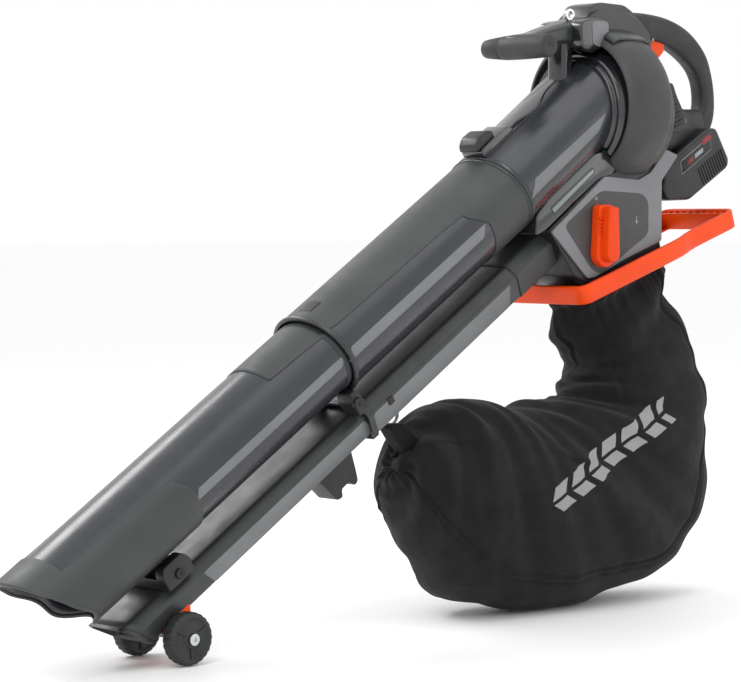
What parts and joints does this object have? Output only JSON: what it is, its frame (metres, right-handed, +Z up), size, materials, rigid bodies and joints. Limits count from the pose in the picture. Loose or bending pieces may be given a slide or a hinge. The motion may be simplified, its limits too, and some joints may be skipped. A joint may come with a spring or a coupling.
{
  "type": "leaf blower",
  "caption": "Cordless leaf blower and vacuum with a suction tube above a blower tube, fan housing, rear and front handles, battery, mode lever, wheels and a debris bag.",
  "frame": {"origin": "a point on the flat base of the bag, in the machine's middle plane and 604 mm behind the wheel axle, on the surface that the machine stands on", "axes": "+Z up, the nozzles point to -X and the battery to +X, +Y towards the far side from the mode lever"},
  "size_m": [1.1575, 0.199, 0.7596],
  "materials": {
    "satin_grey": "moulded satin grey",
    "gloss_grey": "glossy dark grey",
    "dark_plastic": "fine grained black",
    "cover_grey": "fine grained dark grey",
    "light_grey": "satin light grey",
    "orange": "satin orange",
    "red_latch": "dark red",
    "soft_rubber": "soft-touch black",
    "steel": "brushed",
    "chrome": "polished",
    "copper_steel": "wound rotor",
    "board": "circuit board",
    "contacts": "contact metal",
    "bag_fabric": "woven black polyester"
  },
  "bodies": {
    "root": {"suction_tube_lower": "gloss_grey", "nozzle_shoe": "satin_grey", "suction_tube_upper": "gloss_grey", "tube_seal": "soft_rubber", "inlet_duct": "gloss_grey", "release_spring": "steel", "volute_front": "dark_plastic", "volute_rear": "dark_plastic", "volute_cover": "cover_grey", "top_cap": "cover_grey", "motor_can": "steel", "motor_bearings": "steel", "motor_housing_near": "satin_grey", "motor_housing_far": "satin_grey", "vent_grille": "dark_plastic", "handle_shell_near": "satin_grey", "handle_shell_far": "satin_grey", "trigger_pin": "steel", "trigger_spring": "steel", "trigger_switch": "dark_plastic", "control_board": "board", "battery_dock": "dark_plastic", "terminal_block": "contacts", "diverter_box_near": "satin_grey", "diverter_box_far": "satin_grey", "panel_near": "light_grey", "panel_far": "light_grey", "panel_inset": "cover_grey", "blower_tube_upper": "satin_grey", "blower_tube_lower": "satin_grey", "clip_bracket": "dark_plastic", "mid_bracket": "dark_plastic", "foot_bracket": "dark_plastic", "wheel_bracket": "orange", "axle": "steel", "axle_bolts": "chrome", "front_arm": "cover_grey", "front_grip": "soft_rubber", "eyelet_pin": "steel", "bag_frame": "orange", "bag": "bag_fabric", "bag_hook": "steel", "housing_screws": "steel"},
    "fan_rotor": {"impeller": "dark_plastic", "impeller_nut": "steel", "motor_rotor": "copper_steel", "motor_shaft": "steel"},
    "trigger_lever": {"trigger": "orange"},
    "mode_lever_body": {"mode_lever": "orange", "lever_shaft": "steel", "diverter_flap": "dark_plastic"},
    "near_wheel": {"wheel_near": "satin_grey"},
    "far_wheel": {"wheel_far": "satin_grey"},
    "battery": {"battery_pack": "dark_plastic"},
    "battery_button": {"battery_latch": "red_latch"},
    "release_button": {"tube_release_button": "satin_grey"},
    "clip_push_button": {"clip_button": "chrome"},
    "strap_ring": {"strap_eyelet": "chrome"},
    "bag_catch": {"bag_latch": "red_latch"}
  },
  "joints": [
    {"name": "fan_spin", "type": "hinge", "parent": "root", "child": "fan_rotor", "pos_m": [0.07836, 0, 0.62623], "axis": [1, 0, 0], "continuous": true},
    {"name": "trigger_pull", "type": "hinge", "parent": "root", "child": "trigger_lever", "pos_m": [0.19866, 0, 0.72523], "axis": [0, 1, 0], "range_deg": [-12, 0], "stiffness_Nm_per_rad": 0.06, "springref_deg": 8.59, "deforming": ["trigger_spring"]},
    {"name": "mode_turn", "type": "hinge", "parent": "root", "child": "mode_lever_body", "pos_m": [0.048, 0, 0.44793], "axis": [0, 1, 0], "range_deg": [0, 50]},
    {"name": "near_wheel_spin", "type": "hinge", "parent": "root", "child": "near_wheel", "pos_m": [-0.604, -0.0455, 0.03], "axis": [0, 1, 0], "continuous": true},
    {"name": "far_wheel_spin", "type": "hinge", "parent": "root", "child": "far_wheel", "pos_m": [-0.604, 0.0455, 0.03], "axis": [0, 1, 0], "continuous": true},
    {"name": "battery_slide", "type": "slide", "parent": "root", "child": "battery", "axis": [0.866, 0, 0.5], "range_m": [0, 0.1]},
    {"name": "battery_button_push", "type": "slide", "parent": "battery", "child": "battery_button", "axis": [0.5, 0, -0.866], "range_m": [0, 0.002], "stiffness_N_per_m": 400, "springref_m": -0.001},
    {"name": "release_button_push", "type": "slide", "parent": "root", "child": "release_button", "axis": [0.5446, 0, -0.8387], "range_m": [0, 0.003], "stiffness_N_per_m": 400, "springref_m": -0.001, "deforming": ["release_spring"]},
    {"name": "clip_button_push", "type": "slide", "parent": "root", "child": "clip_push_button", "axis": [0, 1, 0], "range_m": [0, 0.003], "stiffness_N_per_m": 400, "springref_m": -0.001},
    {"name": "strap_ring_swing", "type": "hinge", "parent": "root", "child": "strap_ring", "pos_m": [0.04436, -0.01, 0.73953], "axis": [0, 1, 0], "range_deg": [-50, 50]},
    {"name": "bag_catch_turn", "type": "hinge", "parent": "root", "child": "bag_catch", "pos_m": [0.17949, 0, 0.4591], "axis": [0, 1, 0], "range_deg": [0, 20], "stiffness_Nm_per_rad": 0.05, "springref_deg": -5.73}
  ]
}
